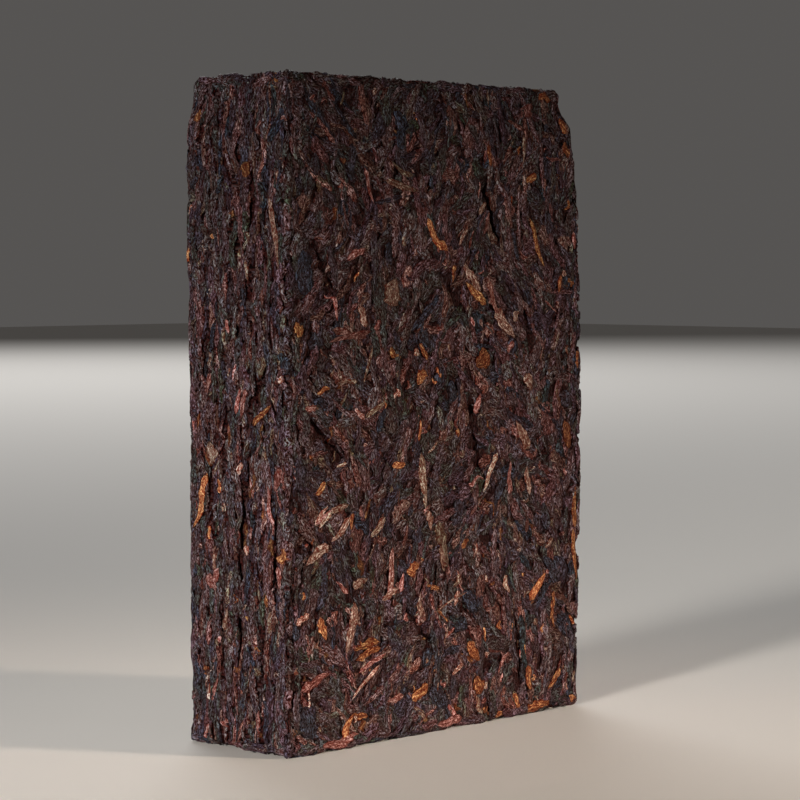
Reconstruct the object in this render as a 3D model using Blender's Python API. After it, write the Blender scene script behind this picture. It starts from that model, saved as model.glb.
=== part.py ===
"""A brick of pressed dark tea, standing on its short end.

Steamed leaf is packed into a mould and pressed along the brick's depth, so the leaves lie flat in the
two broad faces and show as long upright edges in the narrow ones. The brick is one solid: a core with
the mould's slightly barrelled form, the largest leaves fused on as relief, and the deep splits cut in.

Units are metres. +Z is up, the broad faces look along -Y and +Y, and the origin is under the brick's
middle.
"""

import math
import random

import bmesh
import bpy
from mathutils import Matrix, Vector, noise

# Driving dimensions
BRICK_HEIGHT = 0.140
BRICK_WIDTH = 0.090
BRICK_DEPTH = 0.0295
LEAF_RELIEF = 0.0007

# The core, which lies a leaf's relief below the brick's outer size
CORE_HALF_WIDTH = BRICK_WIDTH / 2 - LEAF_RELIEF
CORE_HALF_DEPTH = BRICK_DEPTH / 2 - LEAF_RELIEF
CORE_HEIGHT = BRICK_HEIGHT - LEAF_RELIEF
EDGE_WEAR = 0.0009
CUTS_ACROSS = 9
CUTS_DEEP = 8
CUTS_UP = 16

# How the pressed form departs from a plain block
BARREL_SWELL = 0.0005
BARREL_MIDDLE = 0.45 * BRICK_HEIGHT
TOP_PULL_IN = 0.0007
TOP_PULL_HEIGHT = 0.014
LIP_HEIGHT = 0.0045
LIP_OUT = 0.0006
LUMP_DEPTH = 0.00035
LUMP_LENGTH = 0.011
LAYER_DEPTH = 0.00045
LAYER_PITCH = 0.0028
LAYER_LENGTH = 0.030

# The corner that crumbled away, at the top of the +X end of the -Y face: each flat's depth and facing
CHIP_CORNER = Vector((CORE_HALF_WIDTH, -CORE_HALF_DEPTH, CORE_HEIGHT))
CHIP_REACH = 0.040
CHIP_FLATS = (
    (0.0044, Vector((0.86, -0.32, 0.38))),
    (0.0034, Vector((0.42, -0.26, 0.87))),
    (0.0020, Vector((0.92, -0.38, 0.07))),
)

# Leaves that lie flat in the broad faces, as relief: how many cells of them, their size and their lie
FLAT_LEAF_CELLS = (7, 11)
LEAF_LENGTH = (0.009, 0.021)
LEAF_WIDTH = (0.0024, 0.0048)
LEAF_THICKNESS = 0.0016
LEAF_SINK = (0.0, 0.0003)
LEAF_BEND = 0.0022
LEAF_TWIST = 0.3
LEAF_LEAN = 0.75

# Leaves seen edge on, upright in the narrow ends and along the top
END_LEAF_CELLS = (6, 6)
TOP_LEAF_CELLS = (4, 4)
EDGE_LEAF_LENGTH = (0.010, 0.026)
EDGE_LEAF_WIDTH = (0.0012, 0.0022)
EDGE_LEAF_BEND = 0.0003
EDGE_LEAF_DEPTH = 0.0034
EDGE_LEAF_RELIEF = (0.0004, 0.0009)
EDGE_LEAF_LEAN = 0.07

LEAF_SIDES = 4
LEAF_RINGS = 3
FACE_MARGIN = 0.0015
BASE_CLEARANCE = 0.0006

# Faces within this angle of each other, in radians, are one flat after the joining
FLAT_ENOUGH = 0.001

# Splits between the layers: across and up from the face's middle, how long, and the lean from upright
SPLIT_WIDTH = 0.0012
SPLIT_BEND = 0.0005
END_SPLIT_DEPTH = 0.0022
END_SPLITS = (
    (0.0005, -0.026, 0.046, 0.02),
    (0.0012, 0.018, 0.030, -0.06),
    (0.0085, -0.030, 0.040, 0.01),
    (-0.0070, 0.036, 0.026, 0.05),
    (0.0062, 0.042, 0.024, -0.03),
    (-0.0085, -0.008, 0.028, 0.03),
)
BROAD_SPLIT_DEPTH = 0.0013
BROAD_SPLITS = (
    (0.0095, 0.033, 0.015, 0.28),
    (-0.026, -0.008, 0.014, 0.35),
    (0.012, -0.012, 0.018, 0.04),
    (-0.008, -0.048, 0.013, 0.60),
    (0.030, -0.030, 0.016, -0.05),
)

LEAF_COLOUR = (0.045, 0.028, 0.022, 1.0)
LEAF_ROUGHNESS = 0.72

DRAW = random.Random(1407)

# Each face of the brick: where its middle is, and its across, up and outward directions
X, Y, Z = Vector((1, 0, 0)), Vector((0, 1, 0)), Vector((0, 0, 1))
Z_MIDDLE = CORE_HEIGHT / 2
FACES = {
    "front": (Z * Z_MIDDLE - Y * CORE_HALF_DEPTH, X, Z, -Y),
    "back": (Z * Z_MIDDLE + Y * CORE_HALF_DEPTH, -X, Z, Y),
    "left": (Z * Z_MIDDLE - X * CORE_HALF_WIDTH, -Y, Z, -X),
    "right": (Z * Z_MIDDLE + X * CORE_HALF_WIDTH, Y, Z, X),
    "top": (Z * CORE_HEIGHT, Y, X, Z),
}


def clear_scene():
    for obj in list(bpy.data.objects):
        bpy.data.objects.remove(obj, do_unlink=True)


def new_collection(name):
    made = bpy.data.collections.new(name)
    bpy.context.scene.collection.children.link(made)
    return made


def leaf_material():
    """Dark fermented leaf, dull and brown-black."""
    material = bpy.data.materials.new("pressed_tea")
    material.use_nodes = True
    shader = material.node_tree.nodes["Principled BSDF"]
    shader.inputs["Base Color"].default_value = LEAF_COLOUR
    shader.inputs["Roughness"].default_value = LEAF_ROUGHNESS
    shader.inputs["Metallic"].default_value = 0.0
    return material


def smooth_step(value):
    value = min(1.0, max(0.0, value))
    return value * value * (3 - 2 * value)


def swell(z):
    """How far every side stands out at this height: the barrel's swell, less the pull-in under the top."""
    from_middle = (z - BARREL_MIDDLE) / (BRICK_HEIGHT - BARREL_MIDDLE)
    under_top = (z - (BRICK_HEIGHT - TOP_PULL_HEIGHT)) / TOP_PULL_HEIGHT
    return BARREL_SWELL * (1 - from_middle**2) - TOP_PULL_IN * smooth_step(under_top)


def lumps(a, b, seed):
    return LUMP_DEPTH * noise.noise(Vector((a / LUMP_LENGTH, b / LUMP_LENGTH, seed)))


def layers(across, along, seed):
    """The edges of the pressed layers: close together across the stack and long beside it."""
    return LAYER_DEPTH * noise.noise(Vector((across / LAYER_PITCH, along / LAYER_LENGTH, seed)))


def pressed_form(point):
    """Where a point of the plain block lies on the pressed brick."""
    x, y, z = point
    on_end = abs(abs(x) - CORE_HALF_WIDTH) < EDGE_WEAR * 1.1
    on_broad = abs(abs(y) - CORE_HALF_DEPTH) < EDGE_WEAR * 1.1
    side_x, side_y = math.copysign(1, x), math.copysign(1, y)
    lip = LIP_OUT * smooth_step(1 - z / LIP_HEIGHT)
    out = Vector((0, 0, 0))
    if on_end:
        out.x = side_x * (swell(z) + layers(y, z, 3 * side_x))
    if on_broad:
        out.y = side_y * (swell(z) + lip + lumps(x, z, 5 * side_y))
    if z > CORE_HEIGHT - EDGE_WEAR * 1.1:
        out.z = layers(y, x, 9.0)
    return point + out


def grid_cuts(mesh, axis, low, high, count):
    for n in range(1, count + 1):
        place = Vector((0, 0, 0))
        place[axis] = low + (high - low) * n / (count + 1)
        facing = Vector((0, 0, 0))
        facing[axis] = 1
        geometry = mesh.verts[:] + mesh.edges[:] + mesh.faces[:]
        bmesh.ops.bisect_plane(mesh, geom=geometry, plane_co=place, plane_no=facing, dist=1e-6)


def make_core(collection, material):
    """The pressed block itself, cut into a grid and drawn out to its barrelled, lumpy form."""
    mesh = bmesh.new()
    bmesh.ops.create_cube(mesh, size=1)
    size = Vector((2 * CORE_HALF_WIDTH, 2 * CORE_HALF_DEPTH, CORE_HEIGHT))
    bmesh.ops.scale(mesh, vec=size, verts=mesh.verts)
    bmesh.ops.translate(mesh, vec=Vector((0, 0, CORE_HEIGHT / 2)), verts=mesh.verts)
    worn = [edge for edge in mesh.edges if max(v.co.z for v in edge.verts) > EDGE_WEAR]
    bmesh.ops.bevel(mesh, geom=worn, offset=EDGE_WEAR, segments=1, profile=0.5, affect="EDGES")
    grid_cuts(mesh, 0, -CORE_HALF_WIDTH, CORE_HALF_WIDTH, CUTS_ACROSS)
    grid_cuts(mesh, 1, -CORE_HALF_DEPTH, CORE_HALF_DEPTH, CUTS_DEEP)
    grid_cuts(mesh, 2, LIP_HEIGHT - CORE_HEIGHT / CUTS_UP, CORE_HEIGHT, CUTS_UP)
    for vertex in mesh.verts:
        vertex.co = pressed_form(vertex.co)
    bmesh.ops.triangulate(mesh, faces=mesh.faces)
    bmesh.ops.recalc_face_normals(mesh, faces=mesh.faces)
    data = bpy.data.meshes.new("tea_brick")
    mesh.to_mesh(data)
    mesh.free()
    data.materials.append(material)
    core = bpy.data.objects.new("tea_brick", data)
    collection.objects.link(core)
    return core


def leaf_mesh(length, width, thickness, bend, twist):
    """A leaf as a flat strip with pointed ends, bent in its own plane and slightly twisted."""
    mesh = bmesh.new()
    bmesh.ops.create_uvsphere(mesh, u_segments=LEAF_SIDES, v_segments=LEAF_RINGS, radius=math.sqrt(0.5))
    bmesh.ops.rotate(mesh, matrix=Matrix.Rotation(math.radians(45), 3, "Z"), verts=mesh.verts)
    for vertex in mesh.verts:
        across, through, along = vertex.co.x, vertex.co.y, vertex.co.z * math.sqrt(0.5)
        spin = Matrix.Rotation(twist * along, 3, "Z")
        flat = spin @ Vector((across * width, through * thickness, 0))
        flat.x += bend * (4 * along * along - 0.5)
        vertex.co = Vector((flat.x, along * length, flat.y))
    bmesh.ops.recalc_face_normals(mesh, faces=mesh.faces)
    data = bpy.data.meshes.new("leaf")
    mesh.to_mesh(data)
    mesh.free()
    return data


def place_on_face(data, collection, face, across, up, sink, lean, edge_on=False):
    """Lays a leaf on a face: flat in it, or edge on, as the layers show in the narrow ends."""
    middle, right, high, out = FACES[face]
    place = middle + right * across + high * up
    place += out * (swell(place.z) - sink) if face != "top" else -out * sink
    turn = Matrix((right, high, out)).transposed()
    turn = turn @ Matrix.Rotation(lean, 3, "Z")
    if edge_on:
        turn = turn @ Matrix.Rotation(math.radians(90), 3, "Y")
    leaf = bpy.data.objects.new("leaf", data)
    leaf.matrix_world = Matrix.Translation(place) @ turn.to_4x4()
    collection.objects.link(leaf)


def jittered_cells(width, height, columns, rows):
    """One place in each cell of a grid, so that the leaves are spread evenly but never in line."""
    for row in range(rows):
        for column in range(columns):
            stagger = 0.5 * (row % 2)
            across = (column + DRAW.uniform(0.1, 0.6) + stagger) / (columns + 0.5) - 0.5
            up = (row + DRAW.uniform(0.15, 0.85)) / rows - 0.5
            yield across * width, up * height


def flat_leaves(collection, face):
    """Leaves lying flat in a broad face, most of them leaning less than 60 degrees from upright."""
    width = BRICK_WIDTH - 2 * FACE_MARGIN
    height = BRICK_HEIGHT - 2 * FACE_MARGIN
    for across, up in jittered_cells(width, height, *FLAT_LEAF_CELLS):
        length = DRAW.uniform(*LEAF_LENGTH)
        lean = DRAW.gauss(0, LEAF_LEAN)
        half_height = length / 2 * abs(math.cos(lean)) + LEAF_BEND
        half_width = length / 2 * abs(math.sin(lean)) + LEAF_BEND
        up = max(up, half_height + BASE_CLEARANCE - Z_MIDDLE)
        up = min(up, Z_MIDDLE - half_height)
        across = max(min(across, CORE_HALF_WIDTH - half_width), half_width - CORE_HALF_WIDTH)
        bend = DRAW.uniform(-LEAF_BEND, LEAF_BEND)
        twist = DRAW.uniform(-LEAF_TWIST, LEAF_TWIST)
        data = leaf_mesh(length, DRAW.uniform(*LEAF_WIDTH), LEAF_THICKNESS, bend, twist)
        place_on_face(data, collection, face, across, up, DRAW.uniform(*LEAF_SINK), lean)


def layered_leaves(collection, face, height, cells):
    """Leaves seen edge on, upright in the narrow ends and running along the top."""
    for across, up in jittered_cells(BRICK_DEPTH, height, *cells):
        length = DRAW.uniform(*EDGE_LEAF_LENGTH)
        thickness = DRAW.uniform(*EDGE_LEAF_WIDTH)
        lean = DRAW.gauss(0, EDGE_LEAF_LEAN)
        reach = CORE_HALF_WIDTH if face == "top" else Z_MIDDLE - BASE_CLEARANCE
        up = min(max(up, length / 2 - reach), reach - length / 2)
        room = (BRICK_DEPTH - thickness - abs(lean) * length) / 2
        across = min(max(across, -room), room)
        data = leaf_mesh(length, EDGE_LEAF_DEPTH, thickness, EDGE_LEAF_BEND, 0.0)
        sink = EDGE_LEAF_DEPTH / 2 - DRAW.uniform(*EDGE_LEAF_RELIEF)
        place_on_face(data, collection, face, across, up, sink, lean, edge_on=True)


def make_splits(collection, face, places, depth):
    """Cutters for a face's splits: blade-shaped slivers, half sunk in the face."""
    for across, up, length, lean in places:
        bend = DRAW.uniform(-SPLIT_BEND, SPLIT_BEND)
        data = leaf_mesh(length, 2 * depth, SPLIT_WIDTH, bend, 0.0)
        place_on_face(data, collection, face, across, up, 0.0, lean, edge_on=True)


def make_chip(collection):
    """Blocks that take the crumbled corner off, one for each flat."""
    for depth, facing in CHIP_FLATS:
        mesh = bmesh.new()
        bmesh.ops.create_cube(mesh, size=CHIP_REACH)
        bmesh.ops.translate(mesh, vec=Vector((0, 0, CHIP_REACH / 2)), verts=mesh.verts)
        data = bpy.data.meshes.new("chip")
        mesh.to_mesh(data)
        mesh.free()
        block = bpy.data.objects.new("chip", data)
        place = CHIP_CORNER - facing.normalized() * depth
        turn = facing.to_track_quat("Z", "Y").to_matrix().to_4x4()
        block.matrix_world = Matrix.Translation(place) @ turn
        collection.objects.link(block)


def apply_boolean(core, operation, collection):
    """Joins the collection to the core or cuts it away, in one Boolean, and removes its objects."""
    modifier = core.modifiers.new(operation.lower(), "BOOLEAN")
    modifier.operation = operation
    modifier.operand_type = "COLLECTION"
    modifier.collection = collection
    modifier.solver = "EXACT"
    bpy.context.view_layer.update()
    graph = bpy.context.evaluated_depsgraph_get()
    made = bpy.data.meshes.new_from_object(core.evaluated_get(graph))
    core.modifiers.remove(modifier)
    core.data = made
    for obj in list(collection.objects):
        bpy.data.objects.remove(obj, do_unlink=True)
    bpy.data.collections.remove(collection)


def islands_of(mesh):
    """The mesh's separate shells, as lists of faces."""
    left = set(mesh.faces)
    while left:
        shell, edge_of_shell = [], [left.pop()]
        while edge_of_shell:
            face = edge_of_shell.pop()
            shell.append(face)
            near = {other for edge in face.edges for other in edge.link_faces} & left
            left -= near
            edge_of_shell.extend(near)
        yield shell


def keep_outer_shell(core):
    """Fills the hollows that the joining sealed, and drops loose scraps."""
    mesh = bmesh.new()
    mesh.from_mesh(core.data)
    bmesh.ops.dissolve_limit(mesh, angle_limit=FLAT_ENOUGH, verts=mesh.verts, edges=mesh.edges)
    bmesh.ops.triangulate(mesh, faces=mesh.faces)
    shells = sorted(islands_of(mesh), key=len)
    extra = [face for shell in shells[:-1] for face in shell]
    bmesh.ops.delete(mesh, geom=extra, context="FACES")
    mesh.to_mesh(core.data)
    mesh.free()


def centre_over_origin(core):
    """Puts the middle of the brick's base on the origin."""
    xs = [vertex.co.x for vertex in core.data.vertices]
    ys = [vertex.co.y for vertex in core.data.vertices]
    middle = Vector((-(min(xs) + max(xs)) / 2, -(min(ys) + max(ys)) / 2, 0))
    core.data.transform(Matrix.Translation(middle))


def build():
    clear_scene()
    brick = new_collection("pressed_tea_brick")
    leaves = new_collection("leaves")
    cutters = new_collection("cutters")
    core = make_core(brick, leaf_material())
    for face in ("front", "back"):
        flat_leaves(leaves, face)
        make_splits(cutters, face, BROAD_SPLITS, BROAD_SPLIT_DEPTH)
    for face in ("left", "right"):
        layered_leaves(leaves, face, BRICK_HEIGHT, END_LEAF_CELLS)
        make_splits(cutters, face, END_SPLITS, END_SPLIT_DEPTH)
    layered_leaves(leaves, "top", BRICK_WIDTH, TOP_LEAF_CELLS)
    make_chip(cutters)
    apply_boolean(core, "UNION", leaves)
    apply_boolean(core, "DIFFERENCE", cutters)
    keep_outer_shell(core)
    centre_over_origin(core)


build()
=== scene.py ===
import math

import bmesh
import bpy
import numpy as np
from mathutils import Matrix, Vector


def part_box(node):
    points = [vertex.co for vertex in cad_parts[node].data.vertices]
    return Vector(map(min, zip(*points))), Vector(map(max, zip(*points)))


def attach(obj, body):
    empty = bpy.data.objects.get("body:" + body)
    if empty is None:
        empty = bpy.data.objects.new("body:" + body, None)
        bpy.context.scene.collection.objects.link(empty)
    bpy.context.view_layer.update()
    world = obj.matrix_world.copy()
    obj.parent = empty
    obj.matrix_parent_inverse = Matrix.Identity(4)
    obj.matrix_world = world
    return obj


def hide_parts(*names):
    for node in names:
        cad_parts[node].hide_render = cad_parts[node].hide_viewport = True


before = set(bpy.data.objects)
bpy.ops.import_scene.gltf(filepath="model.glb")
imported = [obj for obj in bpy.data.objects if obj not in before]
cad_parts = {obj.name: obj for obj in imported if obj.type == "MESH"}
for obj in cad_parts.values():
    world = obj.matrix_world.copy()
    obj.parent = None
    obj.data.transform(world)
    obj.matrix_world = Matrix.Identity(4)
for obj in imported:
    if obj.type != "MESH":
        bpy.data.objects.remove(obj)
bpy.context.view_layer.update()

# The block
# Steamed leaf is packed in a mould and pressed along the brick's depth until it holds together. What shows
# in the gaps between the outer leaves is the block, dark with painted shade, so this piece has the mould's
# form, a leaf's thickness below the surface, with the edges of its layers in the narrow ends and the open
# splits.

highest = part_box("tea_brick")[1]

# The mould's form: walls that swell in the middle and draw in under the top, and at the foot a lip that
# stands out over a small undercut
BARREL_SWELL = 0.0005
HALF_WIDTH = highest[0] - BARREL_SWELL
HALF_DEPTH = highest[1] - BARREL_SWELL
HEIGHT = highest[2]
CORNER_RADIUS = 0.0004
BARREL_MIDDLE = 0.45 * HEIGHT
TOP_PULL_IN = 0.0007
TOP_PULL_HEIGHT = 0.014
LIP_HEIGHT = 0.0036
LIP_SLOPE = 0.0015
LIP_OUT = 0.0006
LIP_WAVE_LENGTH = 0.011
UNDERCUT = 0.0009
UNDERCUT_HEIGHT = 0.0012
UNDERCUT_WAVE_LENGTH = 0.008

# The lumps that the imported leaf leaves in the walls, along the upright edges and in the top, how far the
# narrow ends stand proud, and the most that all of it may stand out
LUMP_DEPTH = 0.00016
LUMP_LENGTH = 0.013
EDGE_LUMP_DEPTH = 0.00022
EDGE_LUMP_LENGTH = 0.010
EDGE_REACH = 0.003
TOP_LUMP_DEPTH = 0.0001
TOP_LUMP_LENGTH = 0.016
END_PROUD = 0.0003
MOST_OUT = 0.0007

# Where the waist's unrolled length passes each corner and the middle of each wall, from the middle of the
# -Y face towards +X
FRONT_MIDDLE = 0.0
FRONT_RIGHT = HALF_WIDTH
RIGHT_END = FRONT_RIGHT + HALF_DEPTH
BACK_RIGHT = FRONT_RIGHT + 2 * HALF_DEPTH
BACK_MIDDLE = BACK_RIGHT + HALF_WIDTH
BACK_LEFT = BACK_RIGHT + 2 * HALF_WIDTH
FRONT_LEFT = -HALF_WIDTH
LEFT_END = FRONT_LEFT - HALF_DEPTH
WAIST = 4 * (HALF_WIDTH + HALF_DEPTH)
CORNERS = (FRONT_LEFT, FRONT_RIGHT, BACK_RIGHT, BACK_LEFT)


def smooth_step(value):
    """Eases from 0 to 1 as the value does, and stays level outside."""
    value = np.clip(value, 0, 1)
    return value * value * (3 - 2 * value)


def ripple(a, b, length, seed):
    """A smooth random height over two coordinates, mostly between -1 and 1, made of seven waves."""
    draw = np.random.default_rng(seed)
    height = 0
    for _ in range(7):
        turn = draw.uniform(0, math.tau)
        wave = length * draw.uniform(0.6, 1.7)
        ahead = a * math.cos(turn) + b * math.sin(turn)
        height = height + np.sin(math.tau * ahead / wave + draw.uniform(0, 9))
    return height / 3.2


def waist_line():
    """The rounded outline of the mould from above: distance, x, y, and the outward direction."""
    rows = [(0.0, 0.0, -HALF_DEPTH, 0.0, -1.0)]
    corners = (
        (FRONT_RIGHT, 1, -1, -90),
        (BACK_RIGHT, 1, 1, 0),
        (BACK_LEFT, -1, 1, 90),
        (WAIST + FRONT_LEFT, -1, -1, 180),
    )
    for distance, side_x, side_y, start in corners:
        for step in range(5):
            turn = math.radians(start + 22.5 * step)
            out_x, out_y = math.cos(turn), math.sin(turn)
            x = side_x * (HALF_WIDTH - CORNER_RADIUS) + CORNER_RADIUS * out_x
            y = side_y * (HALF_DEPTH - CORNER_RADIUS) + CORNER_RADIUS * out_y
            rows.append((distance + CORNER_RADIUS * (step / 2 - 1), x, y, out_x, out_y))
    return np.array(rows).T


WAIST_LINE = waist_line()

# The corner that crumbled away, at the top of the +X end of the -Y face: how far down from the top, and how
# far in from the end, then the flats that round it and the other corner that shows: depth and facing
CHIP_STEPS = (
    (0.0000, 0.0062),
    (0.0036, 0.0060),
    (0.0052, 0.0052),
    (0.0084, 0.0020),
    (0.0112, 0.0024),
    (0.0150, 0.0009),
    (0.0190, 0.0013),
    (0.0235, 0.0006),
    (0.0290, 0.0000),
)
CHIP_ROUGHNESS = 0.0003
CHIP_ROUGH_LENGTH = 0.004
CORNER_FLATS = (
    ((HALF_WIDTH, -HALF_DEPTH, HEIGHT), 0.0050, (0.70, -0.12, 0.70)),
    ((HALF_WIDTH, -HALF_DEPTH, HEIGHT), 0.0030, (0.42, -0.26, 0.87)),
    ((-HALF_WIDTH, HALF_DEPTH, HEIGHT), 0.0012, (-0.55, 0.55, 0.63)),
)

# Where two upright edges stand out past the mould's form: the place, then heights and how far along X
EDGE_BOWS = (
    (
        FRONT_RIGHT,
        (0.000, 0.015, 0.033, 0.054, 0.074, 0.092, 0.110),
        (0.0, 0.0002, 0.0005, 0.0009, 0.0010, 0.0005, 0.0),
    ),
    (
        BACK_LEFT,
        (0.070, 0.090, 0.105, 0.120, 0.127, 0.133),
        (0.0, -0.0003, -0.0006, -0.0008, -0.0010, 0.0),
    ),
)
BOW_REACH = 0.012


def crumble(face):
    """How far each point of the mould's face has crumbled back at the broken and the worn corner."""
    x, y, z = face[..., 0], face[..., 1], face[..., 2]
    depth = np.interp(HEIGHT - z, *np.array(CHIP_STEPS).T)
    rough = CHIP_ROUGHNESS * ripple(y, z, CHIP_ROUGH_LENGTH, 11)
    depth = (depth + rough * (depth > 0)) * smooth_step((0.2 * HALF_DEPTH - y) / (1.2 * HALF_DEPTH))
    shift = np.zeros_like(face)
    shift[..., 0] = np.where(depth > 0, np.minimum(HALF_WIDTH - depth - x, 0), 0)
    for corner, depth, facing in CORNER_FLATS:
        facing = np.array(facing) / np.linalg.norm(facing)
        beyond = (face + shift - np.array(corner)) @ facing + depth + rough
        shift = shift - np.maximum(beyond, 0)[..., None] * facing
    return shift


def swell(z):
    """How far the walls stand out at this height: the barrel's swell, less the pull-in under the top."""
    from_middle = (z - BARREL_MIDDLE) / (HEIGHT - BARREL_MIDDLE)
    under_top = (z - (HEIGHT - TOP_PULL_HEIGHT)) / TOP_PULL_HEIGHT
    return BARREL_SWELL * (1 - from_middle**2) - TOP_PULL_IN * smooth_step(under_top)


def past(around, place):
    """How far round the waist each point lies past a place, the short way."""
    return (around - place + WAIST / 2) % WAIST - WAIST / 2


def on_wall(around, z, out):
    """Points on the upright walls: around the waist, up, and out from the mould's face."""
    x, y, out_x, out_y = (np.interp(around, WAIST_LINE[0], row, period=WAIST) for row in WAIST_LINE[1:])
    size = np.hypot(out_x, out_y)
    out_x, out_y = out_x / size, out_y / size
    lip_wave = 0.6 + 0.5 * ripple(around, 0 * z, LIP_WAVE_LENGTH, 3)
    lip = smooth_step((LIP_HEIGHT - z) / LIP_SLOPE) * lip_wave
    under_wave = 0.6 + 0.4 * ripple(around, 0 * z, UNDERCUT_WAVE_LENGTH, 4)
    under = smooth_step(1 - z / UNDERCUT_HEIGHT) * under_wave
    form = swell(z) + LUMP_DEPTH * ripple(around, z, LUMP_LENGTH, 5) + LIP_OUT * np.abs(out_y) * lip
    form = form - UNDERCUT * under
    form = form + END_PROUD * np.abs(out_x)
    for number, corner in enumerate(CORNERS):
        nearness = np.exp(-(past(around, corner) / EDGE_REACH)**2)
        form = form + EDGE_LUMP_DEPTH * nearness * ripple(z, 0.1 * number, EDGE_LUMP_LENGTH, 6)
    form = np.minimum(form, MOST_OUT)
    face = np.stack((x + out_x * form, y + out_y * form, z), axis=-1)
    for corner, heights, bow in EDGE_BOWS:
        nearness = smooth_step(1 - np.abs(past(around, corner)) / BOW_REACH)
        face[..., 0] = face[..., 0] + nearness * np.interp(z, heights, bow)
    outward = np.stack((out_x, out_y, 0 * z), axis=-1)
    return face + outward * out[..., None] + crumble(face)


def on_top(x, y, out):
    """Points on the brick's top, drawn in with the walls."""
    z = HEIGHT + TOP_LUMP_DEPTH + TOP_LUMP_DEPTH * ripple(x, y, TOP_LUMP_LENGTH, 7)
    face = np.stack((x, y, z), axis=-1)
    return face + np.array((0, 0, 1)) * out[..., None] + crumble(face)


def on_base(x, y, out):
    """Points on the flat base, which stands at height zero."""
    return np.stack((x, y, -out), axis=-1)


# The splits between layers, on a broad face and on a narrow end: how far from the face's middle round the
# waist, how far up, half length, lean from upright, half width
BROAD_SPLITS = (
    (0.0158, 0.1120, 0.0066, -0.43, 0.00026),
    (0.0044, 0.0942, 0.0065, -0.77, 0.00006),
    (0.0280, 0.0872, 0.0044, -0.28, 0.00010),
    (-0.0357, 0.1008, 0.0063, -0.57, 0.00012),
    (-0.0357, 0.0658, 0.0051, -0.82, 0.00018),
    (-0.0072, 0.0235, 0.0058, -0.76, 0.00006),
    (0.0252, 0.0148, 0.0085, -0.15, 0.00005),
    (0.0104, 0.0638, 0.0079, -0.21, 0.00014),
)
END_SPLITS = (
    (0.0012, 0.0455, 0.0143, 0.13, 0.00030),
    (0.0005, 0.0240, 0.0080, -0.05, 0.00022),
    (0.0112, 0.0406, 0.0083, 0.04, 0.00020),
    (-0.0049, 0.0245, 0.0065, 0.00, 0.00016),
    (0.0060, 0.0754, 0.0052, 0.67, 0.00020),
    (-0.0103, 0.0805, 0.0047, -0.09, 0.00014),
    (0.0037, 0.0968, 0.0034, 0.43, 0.00014),
    (0.0045, 0.1145, 0.0055, 0.12, 0.00012),
    (-0.0040, 0.0640, 0.0080, 0.07, 0.00008),
    (-0.0085, 0.0500, 0.0080, -0.08, 0.00008),
    (0.0068, 0.0170, 0.0080, 0.10, 0.00008),
)
SPLITS_BY_WALL = (
    (FRONT_MIDDLE, BROAD_SPLITS),
    (LEFT_END, END_SPLITS),
    (RIGHT_END, END_SPLITS),
    (BACK_MIDDLE, BROAD_SPLITS),
)
SPLITS = [(middle + across, *rest) for middle, splits in SPLITS_BY_WALL for across, *rest in splits]
SPLIT_WAVE = 0.0004
SPLIT_WAVE_LENGTH = 0.007


def beside_split(split, around, z):
    """How far to a split's right each point lies, and whether it is within the split's length."""
    middle, height, half_length, lean, _ = split
    right = past(around, middle)
    up = z - height
    along = right * math.sin(lean) + up * math.cos(lean)
    across = right * math.cos(lean) - up * math.sin(lean)
    across = across - SPLIT_WAVE * np.sin(math.tau * along / SPLIT_WAVE_LENGTH + middle * 900)
    return across, np.abs(along) < half_length


# How far the block lies below the mould's face, the cuts of its grid, and its relief: the splits, and the
# edges of the layers, which stretch along the walls and the top and are fainter in the broad faces
BLOCK_SINK = 0.00042
BLOCK_CUTS = (60, 26, 94)
SPLIT_DEPTH = 0.0016
SPLIT_REACH = 0.0007
LAYER_DEPTH = 0.0003
LAYER_THICKNESS = 0.0024
LAYER_STRETCH = 9
BROAD_LAYER_SHARE = 0.35
PIT_DEPTH = 0.0001
PIT_LENGTH = 0.003
TOP_LAYER_DEPTH = 0.00015
TOP_LAYER_STRETCH = 8
TOP_SHARE = 0.98


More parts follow.
